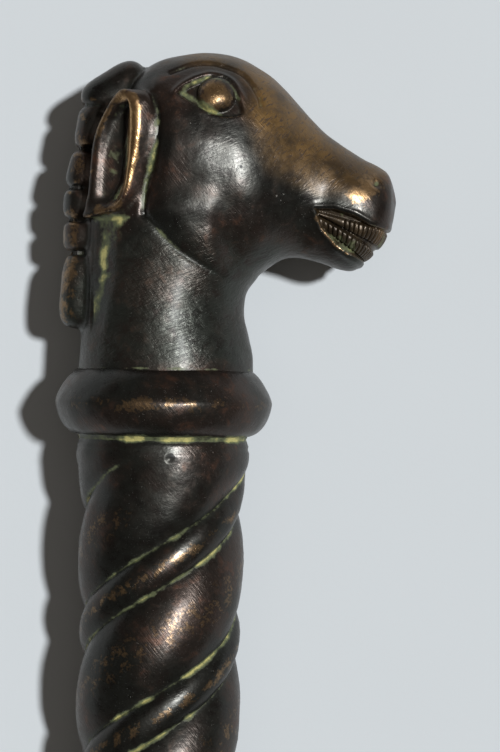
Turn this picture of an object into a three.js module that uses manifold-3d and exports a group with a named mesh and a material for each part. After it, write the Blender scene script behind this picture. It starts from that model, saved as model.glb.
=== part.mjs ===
// A ceremonial mace cast in bronze in one piece: a horse's head with its teeth bared, laid-back ears and
// a knotted mane, a round collar, a grip twisted of two broad strands with a bead between them, and a
// ringed knob at the butt. It lies on its side on two small flats, under the collar and the butt ring.
// Millimetres. +Y runs along the grip to the crown, +X points where the muzzle points, +Z is up, and the
// origin is under the middle of the collar, on the surface that the mace lies on.

import * as THREE from "three";
import { mergeVertices } from "three/addons/utils/BufferGeometryUtils.js";
import Module from "manifold-3d";

// Grip, from the middle of the collar to the middle of the butt ring
const GRIP_LENGTH = 370;
const GRIP_RADIUS = 16; // plain band below the collar
const GRIP_END_RADIUS = 14.2; // plain band above the butt ring
const PLAIN_LENGTH = 9; // from a ring's middle to where the twist begins to rise
const FADE_LENGTH = 9; // over which the twist rises to its full relief
const STRANDS = 2;
const TWIST_LEAD = 53.2;
const TWIST_START = 174; // degrees, at the middle of the collar
const BEAD_SHARE = 0.297; // of each strand's turn, the rest is its broad bulge
const GROOVE_DEPTH = 2.3;
const BEAD_DROP = 1; // top of the bead, below the plain band
const BULGE_DROP = 0.5; // top of the bulge, below the plain band

// Rings and knob
const COLLAR_RADIUS = 20.05;
const COLLAR_HEIGHT = 12;
const COLLAR_SHARPNESS = 1.6; // 2 would be an ellipse, less is more pointed
const KNOB_RADIUS = 15.5;
const KNOB_LENGTH = 25;
const KNOB_WAIST_RADIUS = 12.5;
const BUTT_FACE_RADIUS = 7;
const REST_FLAT_DEPTH = 0.8;

// Head, from the collar's upper joint to the crown, and its carving
const HEAD_HEIGHT = 58.4;
const MANE_WIDTH = 12.6;
const EAR_LEAN = 35; // degrees, from the side of the neck round to the back
const EAR_RIM = 1.3;
const EAR_HOLLOW_DEPTH = 3.6;
const EYEBALL_RADIUS = 3.9;
const LID_THICKNESS = 1.5;
const BROW_GROOVE = 1.1;
const NOSTRIL_RADIUS = 0.9;
const MOUTH_DEPTH = 1.5;
const TOOTH_PITCH = 1.5;
const TOOTH_GAP_DEPTH = 0.9;

// Facets
const TWIST_RINGS_PER_TURN = 10;
const BEAD_FACETS = 3;
const BULGE_FACETS = 4;
const RING_SEGMENTS = 26;
const NECK_COLUMNS = 24;
const HEAD_COLUMNS = 24;

const BRONZE = { color: 0x2b211b, roughness: 0.38, metalness: 0.9 };

const wasm = await Module();
wasm.setup();
const { Manifold, Mesh } = wasm;

const headUnit = HEAD_HEIGHT / 100; // the head's tables are in hundredths of its height
const headBase = COLLAR_HEIGHT / 2;
const restHeight = COLLAR_RADIUS - REST_FLAT_DEPTH;

// Turns a closed geometry into a solid, whichever way its faces run.
function solid(geometry) {
  const bare = geometry.clone();
  bare.deleteAttribute("normal");
  bare.deleteAttribute("uv");
  const merged = mergeVertices(bare, 1e-4);
  const vertProperties = merged.attributes.position.array;
  const triVerts = new Uint32Array(merged.index.array);
  const made = new Manifold(new Mesh({ numProp: 3, vertProperties, triVerts }));
  if (made.volume() > 0) return made;
  triVerts.reverse();
  return new Manifold(new Mesh({ numProp: 3, vertProperties, triVerts }));
}

function geometryOf(body) {
  const { numProp, numVert, vertProperties, triVerts } = body.getMesh();
  const positions = new Float32Array(numVert * 3);
  for (let i = 0; i < numVert; i++)
    positions.set(vertProperties.subarray(i * numProp, i * numProp + 3), i * 3);
  const geometry = new THREE.BufferGeometry();
  geometry.setAttribute("position", new THREE.BufferAttribute(positions, 3));
  geometry.setIndex(new THREE.BufferAttribute(new Uint32Array(triVerts), 1));
  return geometry.toNonIndexed();
}

// A closed skin over rings of equally many points, with a fan over each end.
function loft(rings) {
  const columns = rings[0].length;
  const middles = [rings[0], rings.at(-1)].map((ring) =>
    ring.reduce((sum, point) => sum.add(point), new THREE.Vector3()).divideScalar(columns),
  );
  const positions = [...rings.flat(), ...middles].flatMap((point) => point.toArray());
  const faces = [];
  for (let row = 0; row + 1 < rings.length; row++)
    for (let i = 0; i < columns; i++) {
      const here = row * columns + i;
      const next = row * columns + ((i + 1) % columns);
      faces.push(here, next, next + columns, here, next + columns, here + columns);
    }
  const firstMiddle = rings.length * columns;
  const lastRow = (rings.length - 1) * columns;
  for (let i = 0; i < columns; i++) {
    const next = (i + 1) % columns;
    faces.push(firstMiddle, next, i, firstMiddle + 1, lastRow + i, lastRow + next);
  }
  const geometry = new THREE.BufferGeometry();
  geometry.setAttribute("position", new THREE.Float32BufferAttribute(positions, 3));
  geometry.setIndex(faces);
  return geometry;
}

// A smooth value from a table of rows that start with their place, by cubic Hermite spans.
function between(table, place, column = 1) {
  const last = table.length - 1;
  const at = THREE.MathUtils.clamp(place, table[0][0], table[last][0]);
  let i = 0;
  while (i < last - 1 && at > table[i + 1][0]) i++;
  const slope = (a, b) => (table[b][column] - table[a][column]) / (table[b][0] - table[a][0]);
  const tangent = (k) => slope(Math.max(k - 1, 0), Math.min(k + 1, last));
  const span = table[i + 1][0] - table[i][0];
  const t = (at - table[i][0]) / span;
  const rise = table[i + 1][column] - table[i][column];
  const start = tangent(i) * span;
  const end = tangent(i + 1) * span;
  return table[i][column] + t * (start + t * (3 * rise - 2 * start - end + t * (start + end - 2 * rise)));
}

// A point on an oval, which a squareness over 2 makes fuller and under 2 more pointed.
function ovalPoint(angle, halfWidth, halfDepth, squareness = 2) {
  const power = (value) => Math.sign(value) * Math.abs(value) ** (2 / squareness);
  return [halfWidth * power(Math.cos(angle)), halfDepth * power(Math.sin(angle))];
}

const turnsOf = (count) => Array.from({ length: count }, (_, i) => (2 * Math.PI * i) / count);

// The grip: columns of points that follow the grooves round as they climb.
function twistedGrip() {
  const columns = [];
  for (let strand = 0; strand < STRANDS; strand++) {
    for (let i = 0; i <= BEAD_FACETS; i++) columns.push([strand, "bead", i / (BEAD_FACETS + 1)]);
    for (let i = 0; i <= BULGE_FACETS; i++) columns.push([strand, "bulge", i / (BULGE_FACETS + 1)]);
  }
  const rise = { bead: GROOVE_DEPTH - BEAD_DROP, bulge: GROOVE_DEPTH - BULGE_DROP };
  const count = Math.ceil((GRIP_LENGTH * TWIST_RINGS_PER_TURN) / TWIST_LEAD);
  const rings = Array.from({ length: count + 1 }, (_, row) => {
    const fall = (GRIP_LENGTH * row) / count;
    const plain = THREE.MathUtils.lerp(GRIP_RADIUS, GRIP_END_RADIUS, fall / GRIP_LENGTH);
    const fromRing = Math.min(fall, GRIP_LENGTH - fall);
    const relief = THREE.MathUtils.smoothstep(fromRing, PLAIN_LENGTH, PLAIN_LENGTH + FADE_LENGTH);
    const start = THREE.MathUtils.degToRad(TWIST_START) - (2 * Math.PI * fall) / TWIST_LEAD;
    return columns.map(([strand, kind, share]) => {
      const [from, size] = kind === "bead" ? [0, BEAD_SHARE] : [BEAD_SHARE, 1 - BEAD_SHARE];
      const angle = start + ((strand + from + size * share) * 2 * Math.PI) / STRANDS;
      const swell = 1 - Math.abs(2 * share - 1) ** 2.3;
      const radius = plain - relief * (GROOVE_DEPTH - rise[kind] * swell);
      return new THREE.Vector3(radius * Math.sin(angle), -fall, radius * Math.cos(angle));
    });
  });
  return solid(loft(rings));
}

// A round bulge about the grip's line, over a core of the given radius.
function bulgingRing(coreRadius, steps = 7) {
  const profile = Array.from({ length: steps + 1 }, (_, i) => {
    const angle = Math.PI * (i / steps - 0.5);
    const [out, up] = ovalPoint(angle, 1, COLLAR_HEIGHT / 2, COLLAR_SHARPNESS);
    return new THREE.Vector2(coreRadius + (COLLAR_RADIUS - coreRadius) * out, up);
  });
  return turned(profile);
}

function turned(profile) {
  const points = [new THREE.Vector2(0, profile[0].y), ...profile, new THREE.Vector2(0, profile.at(-1).y)];
  return solid(new THREE.LatheGeometry(points, RING_SEGMENTS));
}

// The butt ring is as big as the collar, so that the mace lies level. The knob below it ends flat.
function butt() {
  const waist = COLLAR_HEIGHT / 2;
  const corners = [
    [BUTT_FACE_RADIUS, -KNOB_LENGTH],
    [KNOB_RADIUS * 0.86, -KNOB_LENGTH * 0.9],
    [KNOB_RADIUS, -THREE.MathUtils.lerp(waist, KNOB_LENGTH, 0.55)],
    [KNOB_RADIUS * 0.94, -THREE.MathUtils.lerp(waist, KNOB_LENGTH, 0.28)],
    [KNOB_WAIST_RADIUS, -waist],
    [KNOB_WAIST_RADIUS, 0],
  ];
  const outline = new THREE.SplineCurve(corners.map((corner) => new THREE.Vector2(...corner)));
  return bulgingRing(GRIP_END_RADIUS).add(turned(outline.getPoints(8))).translate([0, -GRIP_LENGTH, 0]);
}

// Side outlines of the neck, by height above the collar
const NECK_BACK = [
  [-10, -27.6], [13, -26.5], [32, -26.9], [49, -26.7], [66, -24.5], [80, -20.2], [90, -12.8], [95.5, -4],
];
const NECK_FRONT = [
  [-10, 27.6], [3, 27.9], [10, 26.7], [17, 25.1], [22, 25], [26, 26], [30.5, 29.1], [36, 31],
  [66, 29], [84, 20.5], [92, 10], [95.5, -1],
];
const NECK_HALF_WIDTH = [
  [-10, 27.6], [10, 26.8], [30, 25.8], [60, 25.4], [75, 23.5], [86, 19], [92, 12.5], [95.5, 5],
];

// Side outlines of the head, from the nape forward to the muzzle
const HEAD_TOP = [
  [-14.6, 75], [-12.5, 88.7], [-8.6, 94.2], [-3.4, 97.4], [3.4, 99.1], [12, 100], [20.5, 99.1],
  [27.4, 96.2], [34.2, 91.4], [41.1, 84.1], [47.9, 77.1], [54.8, 71.6], [61.6, 67.5], [66.8, 65.1],
  [69.9, 62.8], [71.6, 57.9], [72.3, 54.5],
];
const HEAD_BOTTOM = [
  [-14.6, 68], [-12.5, 55.3], [-8.6, 49.3], [-3.4, 43.8], [3.4, 37.5], [12, 31.7], [20.5, 28.8],
  [27.4, 29.8], [36, 35.3], [41.1, 36.1], [47.9, 34.9], [58.2, 32.4], [62.5, 34.8], [65.9, 37.5],
  [69.7, 42.6], [71.4, 47.6], [72.3, 53.3],
];
const HEAD_HALF_WIDTH = [
  [-14.6, 3.4], [-12.5, 15.4], [-8.6, 23.3], [-3.4, 26.7], [3.4, 28.3], [13.7, 28.9], [22.3, 28.3],
  [29.1, 26.4], [35.1, 23.3], [41.1, 19.9], [47.9, 17.5], [54.8, 17], [61.6, 16.4], [66.8, 14.7],
  [70.2, 11], [72.3, 2.6],
];
const HEAD_SQUARENESS = 2.2;

const headPoint = (x, y, z) => new THREE.Vector3(x * headUnit, headBase + y * headUnit, z * headUnit);

function neck() {
  const heights = [-10, 6, 12, 17, 22, 27, 33, 48, 66, 78, 87, 92.5, 95.5];
  const rings = heights.map((y) => {
    const back = between(NECK_BACK, y);
    const front = between(NECK_FRONT, y);
    return turnsOf(NECK_COLUMNS).map((angle) => {
      const [x, z] = ovalPoint(angle, (front - back) / 2, between(NECK_HALF_WIDTH, y));
      return headPoint((front + back) / 2 + x, y, z);
    });
  });
  return solid(loft(rings));
}

// Cross sections stand upright, each between the head's top and bottom outlines.
function headForm() {
  const places = [
    -14.6, -12.5, -8.6, -3, 4, 12, 20, 26, 31, 36, 41, 47, 53, 58.5, 63, 66.8, 69.5, 71.3, 72.3,
  ];
  const rings = places.map((x) => {
    const top = between(HEAD_TOP, x);
    const bottom = between(HEAD_BOTTOM, x);
    return turnsOf(HEAD_COLUMNS).map((angle) => {
      const [y, z] = ovalPoint(angle, (top - bottom) / 2, between(HEAD_HALF_WIDTH, x), HEAD_SQUARENESS);
      return headPoint(x, (top + bottom) / 2 + y, z);
    });
  });
  return solid(loft(rings));
}

// How far out the side of the head stands at a place in the side outline.
function headSide(x, y) {
  const top = between(HEAD_TOP, x);
  const bottom = between(HEAD_BOTTOM, x);
  const share = Math.min(Math.abs(2 * y - top - bottom) / (top - bottom), 1);
  return between(HEAD_HALF_WIDTH, x) * (1 - share ** HEAD_SQUARENESS) ** (1 / HEAD_SQUARENESS);
}

// Notches of the mane's outline, from the crown down the nape, with how far the lock that follows stands
// out beyond them and how thick it is
const MANE_NOTCHES = [
  [-8, 95.8, 5.4, 19],
  [-27.2, 82.9, 0.9, 15],
  [-29.3, 69.3, 0.9, 15],
  [-32.2, 57, 0.8, 15],
  [-32, 46.7, 0.8, 15],
  [-31.5, 36.6, 0.8, 15],
  [-33.3, 14],
];

const LOCK_OVERLAP = 1.12;
const LOCK_SQUARENESS = 3;

// A lock of the mane is a block with rounded corners, leaning as its stretch of the nape does.
function lock([x, y, rise, thickness], [nextX, nextY], rows = 7, columns = 10) {
  const from = headPoint(x, y, 0);
  const to = headPoint(nextX, nextY, 0);
  const along = from.clone().sub(to);
  const length = along.length() * LOCK_OVERLAP;
  along.normalize();
  const outward = new THREE.Vector3(-along.y, along.x, 0);
  const middle = from.lerp(to, 0.5).addScaledVector(outward, (rise - thickness / 2) * headUnit);
  const rings = Array.from({ length: rows }, (_, row) => {
    const latitude = Math.PI * ((row + 0.5) / rows - 0.5);
    const [spread, up] = ovalPoint(latitude, 1, length / 2, LOCK_SQUARENESS);
    return turnsOf(columns).map((angle) => {
      const [out, z] = ovalPoint(angle, (thickness * headUnit) / 2, MANE_WIDTH / 2, 2.3);
      return middle.clone().addScaledVector(along, up).addScaledVector(outward, out * spread).setZ(z * spread);
    });
  });
  return solid(loft(rings));
}

// Edges of the ear's leaf, by height: the edge along the mane, and the front rim
const EAR_EDGES = [
  [46.6, -26, -23.5],
  [48.4, -25.3, -15.8],
  [51, -24.8, -12.9],
  [55, -24, -11.1],
  [60, -23.6, -10.2],
  [66.5, -23.1, -8.9],
  [73, -21.8, -8.1],
  [80, -18.6, -8.2],
  [84, -15.8, -9.6],
  [85.6, -14, -12.4],
];
const EAR_RIM_PLACE = [-8.1, 28.3]; // a point of the front rim, which the leaf's plane runs through

// A bar along the ear. Its section is given in the leaf's plane as shares of the leaf's width from edge
// to edge with a margin in millimetres, and square to that plane in millimetres outward.
function earBar(side, edges, section) {
  const lean = THREE.MathUtils.degToRad(EAR_LEAN);
  const rings = edges.map(([y, back, front]) =>
    section.map(([share, margin, out]) => {
      const across = (back + (front - back) * share - EAR_RIM_PLACE[0]) / Math.cos(lean) + margin / headUnit;
      const x = EAR_RIM_PLACE[0] + across * Math.cos(lean) - (out / headUnit) * Math.sin(lean);
      const z = EAR_RIM_PLACE[1] + across * Math.sin(lean) + (out / headUnit) * Math.cos(lean);
      return headPoint(x, y, side * z);
    }),
  );
  return solid(loft(rings));
}

function ear(side) {
  const leaf = earBar(side, EAR_EDGES, [
    [0, 0, 0],
    [0.5, 0, 0.4],
    [1, -0.5, 0.3],
    [1, 0, -0.4],
    [1, 1.3, -3],
    [1, 1, -6],
    [0.5, 0, -9],
    [0, 0.5, -6],
    [0, -0.2, -2.5],
  ]);
  const hollow = earBar(side, EAR_EDGES.slice(1, -1), [
    [0, EAR_RIM / 2, 2],
    [1, -EAR_RIM, 2],
    [1, -EAR_RIM, -0.3 * EAR_HOLLOW_DEPTH],
    [0.75, -EAR_RIM, -0.8 * EAR_HOLLOW_DEPTH],
    [0.45, 0, -EAR_HOLLOW_DEPTH],
    [0.2, EAR_RIM / 2, -0.8 * EAR_HOLLOW_DEPTH],
    [0, EAR_RIM / 2, -0.3 * EAR_HOLLOW_DEPTH],
  ]);
  return [leaf, hollow];
}

// Places in the side outline of the head
const EYE = [15.3, 84.6];
const LIDS = [
  [4.4, 85], [7.2, 88.2], [13.6, 90.9], [19.4, 88.7], [22, 84.2], [23.3, 80], [20.3, 78.3], [15, 78.4],
  [11, 80], [6.9, 82.8],
];
const BROW = [[-0.3, 90.6], [6.8, 94.3], [11.8, 95], [16.1, 94.5], [23.4, 91.6], [28, 85.5], [29.1, 81.7]];
const NOSTRIL = [65.4, 59.1];
const MOUTH = [
  [46.2, 50.9], [52, 51], [58.5, 49], [63.5, 46.4], [69, 45.3], [78, 44.5], [78, 30], [65, 32.2],
  [57, 37], [53.3, 39.3], [48, 45],
];
// Each row of teeth lies between two lines, from the corner of the mouth forward.
const TOOTH_ROWS = [
  [[[50.5, 48.4], [70.5, 43.6]], [[50.5, 47], [67.6, 38.5]]],
  [[[48.6, 47.4], [66.4, 37.5]], [[48.6, 44.6], [63.4, 34.3]]],
];

function overSurface(places, side, closed) {
  const points = places.map(([x, y]) => headPoint(x, y, side * headSide(x, y)));
  return new THREE.CatmullRomCurve3(points, closed);
}

const TUBE_SIDES = 4;

function tube(curve, segments, thickness, closed) {
  const geometry = new THREE.TubeGeometry(curve, segments, thickness / 2, TUBE_SIDES, closed);
  if (closed) return solid(geometry);
  const { position } = geometry.attributes;
  const rings = Array.from({ length: segments + 1 }, (_, i) =>
    Array.from({ length: TUBE_SIDES }, (_, j) =>
      new THREE.Vector3().fromBufferAttribute(position, i * (TUBE_SIDES + 1) + j),
    ),
  );
  return solid(loft(rings));
}

function eye(side) {
  const [x, y] = EYE;
  const depth = headSide(x, y) * headUnit;
  const middle = headPoint(x, y, 0);
  const ball = new THREE.SphereGeometry(EYEBALL_RADIUS, 10, 6)
    .scale(1.15, 0.95, 1)
    .translate(middle.x, middle.y, side * (depth - 0.6 * EYEBALL_RADIUS));
  return {
    ball: solid(ball),
    lid: tube(overSurface(LIDS, side, true), 18, LID_THICKNESS, true),
    brow: tube(overSurface(BROW, side, false), 9, BROW_GROOVE, false),
  };
}

// The band between the lips, down to a copy of the head set back by the mouth's depth.
function mouthBand(head) {
  const outline = MOUTH.map(([x, y]) => new THREE.Vector2(x * headUnit, headBase + y * headUnit));
  const width = HEAD_HEIGHT;
  const band = new THREE.ExtrudeGeometry(new THREE.Shape(outline), { depth: width, bevelEnabled: false });
  band.translate(0, 0, -width / 2);
  const { x, y } = headPoint(36, 49, 0); // middle of the muzzle's root
  const shrink = [36, 15, 17].map((size) => 1 - MOUTH_DEPTH / (size * headUnit));
  return solid(band).subtract(head.translate([-x, -y, 0]).scale(shrink).translate([x, y, 0]));
}

// The line that a slanting cut leaves on the head's surface, from one cheek round the muzzle to the other.
function archAcross([corner, front]) {
  const samples = 400;
  const half = Array.from({ length: samples + 1 }, (_, i) => {
    const x = THREE.MathUtils.lerp(corner[0], front[0], i / samples);
    const y = THREE.MathUtils.lerp(corner[1], front[1], i / samples);
    return headPoint(x, y, headSide(x, y));
  }).filter((point) => point.z > 0);
  const points = [...half, ...half.map((point) => point.clone().setZ(-point.z)).reverse()];
  const arch = new THREE.CurvePath();
  for (let i = 0; i + 1 < points.length; i++) arch.add(new THREE.LineCurve3(points[i], points[i + 1]));
  return arch;
}

// A row of teeth is a ridge round the muzzle that dips between each tooth and the next.
function teeth(edges) {
  const [upper, lower] = edges.map(archAcross);
  const steps = 2 * Math.round(upper.getLength() / TOOTH_PITCH);
  const rings = Array.from({ length: steps + 1 }, (_, i) => {
    const [top, bottom] = [upper, lower].map((arch) => arch.getPointAt(i / steps));
    const behind = upper.getPointAt(Math.max((i - 0.8) / steps, 0));
    const along = upper.getPointAt(Math.min((i + 0.8) / steps, 1)).sub(behind);
    const outward = along.cross(top.clone().sub(bottom)).normalize();
    const face = i % 2 === 1 ? 0 : -TOOTH_GAP_DEPTH;
    return [
      top.clone().addScaledVector(outward, -2 * MOUTH_DEPTH),
      top.clone().addScaledVector(outward, face),
      bottom.clone().addScaledVector(outward, face),
      bottom.clone().addScaledVector(outward, -2 * MOUTH_DEPTH),
    ];
  });
  return solid(loft(rings));
}

const sides = [1, -1];
const form = headForm();
const eyes = sides.map(eye);
const ears = sides.map(ear);
const nostrils = sides.map((side) => {
  const [x, y] = NOSTRIL;
  const pit = new THREE.SphereGeometry(NOSTRIL_RADIUS, 6, 4);
  return solid(pit.translate(...headPoint(x, y, side * headSide(x, y)).toArray()));
});

const head = form
  .subtract(mouthBand(form))
  .add(Manifold.union(TOOTH_ROWS.map(teeth)))
  .subtract(Manifold.union([...nostrils, ...eyes.map(({ brow }) => brow)]))
  .add(Manifold.union(eyes.flatMap(({ ball, lid }) => [ball, lid])));
const locks = MANE_NOTCHES.slice(0, -1).map((notch, i) => lock(notch, MANE_NOTCHES[i + 1]));
const rests = new THREE.BoxGeometry(4 * COLLAR_RADIUS, 4 * GRIP_LENGTH, COLLAR_RADIUS);
rests.translate(0, 0, -restHeight - COLLAR_RADIUS / 2);

const collar = bulgingRing(GRIP_RADIUS);
const leaves = ears.map(([leaf]) => leaf);
const hollows = ears.map(([, hollow]) => hollow);
const body = Manifold.union([twistedGrip(), collar, butt(), neck(), head, ...locks, ...leaves])
  .subtract(Manifold.union(hollows))
  .subtract(solid(rests));

const mace = new THREE.Mesh(geometryOf(body), new THREE.MeshStandardMaterial(BRONZE));
mace.name = "mace";
mace.position.z = restHeight;

const group = new THREE.Group();
group.add(mace);
export default group;
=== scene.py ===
"""A ceremonial bronze mace lying on a pale floor, seen from above: a horse's head with bared teeth,
laid-back ears and a knotted mane, a round collar, a twisted grip and a ringed butt. Shapes are worked
out in millimetres, with the collar's middle at zero, and put into the frame at the end."""

import math

import bmesh
import bpy
import numpy as np
from bpy.props import FloatProperty, FloatVectorProperty, PointerProperty
from mathutils import Matrix, Vector


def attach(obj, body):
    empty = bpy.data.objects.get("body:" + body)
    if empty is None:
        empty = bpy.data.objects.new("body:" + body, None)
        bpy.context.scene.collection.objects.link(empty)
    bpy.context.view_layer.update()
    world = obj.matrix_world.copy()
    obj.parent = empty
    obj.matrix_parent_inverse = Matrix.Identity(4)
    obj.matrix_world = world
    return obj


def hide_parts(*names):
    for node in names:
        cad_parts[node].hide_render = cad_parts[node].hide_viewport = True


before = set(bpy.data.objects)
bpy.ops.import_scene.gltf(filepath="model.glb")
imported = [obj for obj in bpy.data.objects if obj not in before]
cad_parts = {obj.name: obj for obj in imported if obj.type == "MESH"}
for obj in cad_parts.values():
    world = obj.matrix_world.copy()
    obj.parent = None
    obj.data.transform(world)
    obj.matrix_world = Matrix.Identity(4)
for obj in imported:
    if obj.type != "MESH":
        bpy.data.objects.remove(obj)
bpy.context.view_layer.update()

bl_info = {
    "name": "Bronze Mace",
    "version": (1, 0, 0),
    "blender": (4, 5, 0),
    "location": "3D View > Sidebar > Mace",
    "description": "Builds a horse-headed bronze mace and the floor it lies on",
    "category": "Add Mesh",
}

MM = 0.001
HEAD_TRIANGLES = 130000  # the most that the carved head keeps
SHARP_ANGLE = math.radians(50)  # joints that turn more than this stay crisp

# The solid's own sizes, in millimetres
GRIP_LENGTH = 370
GRIP_RADIUS = 16
GRIP_END_RADIUS = 14.2
PLAIN_LENGTH = 9
FADE_LENGTH = 9
TWIST_LEAD = 53.2
TWIST_START = math.radians(174)
BEAD_SHARE = 0.297
GROOVE_DEPTH = 2.3
BEAD_DROP = 1
BULGE_DROP = 0.5
COLLAR_RADIUS = 20.05
COLLAR_HEIGHT = 12
COLLAR_SHARPNESS = 1.3  # above its widest line
COLLAR_FULLNESS = 1.75  # below it
KNOB_RADIUS = 15.5
KNOB_LENGTH = 25
KNOB_WAIST_RADIUS = 12.5
BUTT_FACE_RADIUS = 7
REST_HEIGHT = 19.25
HEAD_HEIGHT = 58.4
MANE_WIDTH = 12.6
EAR_LEAN = math.radians(35)
UNIT = HEAD_HEIGHT / 100  # the head's tables are in hundredths of its height
BASE = COLLAR_HEIGHT / 2

# Outlines and half widths: the neck's by height, and the head's from the nape forward
NECK_BACK = [
    (-10, -27.6), (13, -26.5), (32, -26.9), (49, -26.7), (66, -24.5), (80, -20.2), (90, -12.8), (95.5, -4),
]
NECK_FRONT = [
    (-10, 27.6), (3, 27.9), (10, 26.7), (17, 25.1), (22, 25), (26, 26), (30.5, 29.1), (36, 31),
    (66, 29), (84, 20.5), (92, 10), (95.5, -1),
]
NECK_HALF_WIDTH = [
    (-10, 27.6), (10, 26.8), (30, 25.8), (60, 25.4), (75, 23.5), (86, 19), (92, 12.5), (95.5, 5),
]
HEAD_TOP = [
    (-14.6, 75), (-12.5, 88.7), (-8.6, 94.2), (-3.4, 97.4), (3.4, 99.1), (12, 100), (20.5, 99.1),
    (27.4, 96.2), (34.2, 91.4), (41.1, 84.1), (47.9, 77.1), (54.8, 71.6), (61.6, 67.5), (66.8, 65.1),
    (69.9, 62.8), (71.6, 57.9), (72.3, 54.5),
]
HEAD_BOTTOM = [
    (-14.6, 68), (-12.5, 55.3), (-8.6, 49.3), (-3.4, 43.8), (3.4, 37.5), (12, 31.7), (20.5, 28.8),
    (27.4, 29.8), (36, 35.3), (41.1, 36.1), (47.9, 34.9), (58.2, 32.4), (62.5, 34.8), (65.9, 37.5),
    (69.7, 42.6), (71.4, 47.6), (72.3, 53.3),
]
HEAD_HALF_WIDTH = [
    (-14.6, 3.4), (-12.5, 15.4), (-8.6, 23.3), (-3.4, 26.7), (3.4, 28.3), (13.7, 28.9), (22.3, 28.3),
    (29.1, 26.4), (35.1, 23.3), (41.1, 19.9), (47.9, 17.5), (54.8, 17), (61.6, 16.4), (66.8, 14.7),
    (70.2, 11), (72.3, 2.6),
]
HEAD_SQUARENESS = 2.2

# Notches of the mane's outline, with each lock's rise beyond them and its thickness
MANE_NOTCHES = [
    (-8, 95.8, 5.4, 19), (-27.2, 82.9, 0.9, 15), (-29.3, 69.3, 0.9, 15), (-32.2, 57, 0.8, 15),
    (-32, 46.7, 0.8, 15), (-31.5, 36.6, 0.8, 15), (-33.3, 14, 0, 0),
]
# The ear's edges by height: the edge along the mane, and the front rim
EAR_EDGES = [
    (46.6, -26, -23.5), (48.4, -25.3, -15.8), (51, -24.8, -12.9), (55, -24, -11.1), (60, -23.6, -10.2),
    (66.5, -23.1, -8.9), (73, -21.8, -8.1), (80, -18.6, -8.2), (84, -15.8, -9.6), (85.6, -14, -12.4),
]
EAR_LOW = 46.6
EAR_HEIGHT = 39
EAR_RIM_PLACE = (-8.1, 28.3)  # forward, and out from the middle

# Lines carved on both sides of the head, in its side view
EYE = (15.3, 84.9)
LIDS = [
    (2.4, 84.6), (6, 88.4), (13.3, 91.3), (19.6, 89.3), (22.8, 84.4), (24.4, 79), (21, 77),
    (15, 77.3), (10.2, 79.2), (5.4, 82.3),
]
BROW = [(0.8, 91.6), (6.8, 94.3), (11.8, 95), (16.1, 94.5), (23.4, 91.6), (28, 85.5), (29.1, 81.7)]
JAW_CREASE = [(-6.6, 47.6), (-1.9, 43), (3.6, 37.5), (9.2, 33.8), (14.7, 30.6), (19.1, 29), (30, 26)]
EAR_CREASE = [(-6.6, 47.6), (-6.4, 52.5), (-5.6, 58), (-4.2, 63.2), (-2.8, 71), (-2.6, 78.6), (-4.2, 84)]
NOSTRIL = (65.4, 59.1)
MOUTH = [
    (46.4, 50.7), (52, 50.9), (58.5, 49), (63.5, 46.4), (69, 45), (78, 44), (78, 28), (63.4, 34.2),
    (57, 37.2), (53.3, 39.6), (48.4, 45),
]
# Each row of teeth lies between two lines, from the corner of the mouth forward
TOOTH_ROWS = [
    [[(50.3, 48.9), (70.5, 43.9)], [(50.3, 47.2), (67.6, 38.7)]],
    [[(48.6, 47.6), (66.4, 37.5)], [(48.6, 44.6), (63.4, 34.2)]],
]

# The rest of the head in millimetres: the eyeball, the depth of its socket and its rise from there
EYE_HALF_SIZE = (3.6, 3.4)
EYE_DEPTH = 0.9
EYE_RISE = 2.2
# The mouth's depth, the teeth's rise from it, and where the muzzle and the cuts in each row begin
MOUTH_DEPTH = 1.2
TOOTH_RISE = 1.05
FACE_START = 25
FIRST_TOOTH = (32.2, 28.6)
# The inner edge of the ear's rim
EAR_HOLLOW = [
    (-6.9, 54.2), (-8.8, 53.9), (-11.2, 51.4), (-12.4, 47), (-12.9, 42), (-13.1, 37.4), (-12.4, 35.6),
    (-10.6, 35), (-8.6, 36.5), (-7.2, 39.4), (-6.7, 43), (-6.7, 48), (-6.4, 52),
]
# Where the gold of the forehead and the nose ends on the cheek
TAN_EDGE = [
    (-6, 62.4), (5.7, 61.4), (12.3, 60.8), (15.3, 56.6), (14.3, 51.9), (16.2, 46.1), (18, 42.5), (22.4, 40),
    (27, 38.6), (32.4, 38.6), (36.5, 40), (39.8, 40.2), (46, 42), (46, 76), (-6, 76),
]
# The valley beside the mane where residue has gathered
MANE_VALLEY = [(-10.6, 32.6), (-10.9, 29.4), (-11, 25.4), (-11.1, 21.3), (-12, 18.5), (-13, 15.2)]
# Small casting flaws: a place in the side view and a radius
PITS = [
    (1.8, -9.8, 1.1), (11.5, -16.8, 0.6), (20, 37.6, 0.6), (20.8, 36.8, 0.5), (21.1, 38, 0.4),
    (13.6, 42.4, 0.3),
]

# On the neck, in metres above the collar's middle: a line of residue, and where a film comes and goes
NECK_JOINT = 0.0062
NECK_JOINT_REACH = 0.0006
FILM_START = (0.005, 0.009)
FILM_END = (0.034, 0.026)
PIT_DEPTH = 2.4  # where the rest of the relief is about 1 high

# The stage, in metres: the floor, the lights over it and the camera above the mace's middle line
FLOOR_REACH = 14
FLOOR_PLACE = (0, -0.15, -0.0001)
KEY_PLACE = (0.54, 0.13, 1.42)
KEY_SPREAD = math.radians(3.8)
KEY_COLOUR = (0.98, 0.993, 1.0)
FILL_PLACE = (-0.1, 0.1, 1.6)
FILL_SIZE = 1.2
FILL_COLOUR = (1.0, 0.93, 0.86)
LIGHTS_AIM = (0, 0, 0.01)
ROOM_COLOUR = (1.0, 0.87, 0.74)
ROOM_STRENGTH = 0.06
CAMERA_PLACE = (0.01585, 0.00517)
CAMERA_RISE = 0.4434
CAMERA_TURN = math.radians(1.06)
LENS = 114.9  # in millimetres, as the sensor's width is
SENSOR_WIDTH = 36


# Shapes

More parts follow.
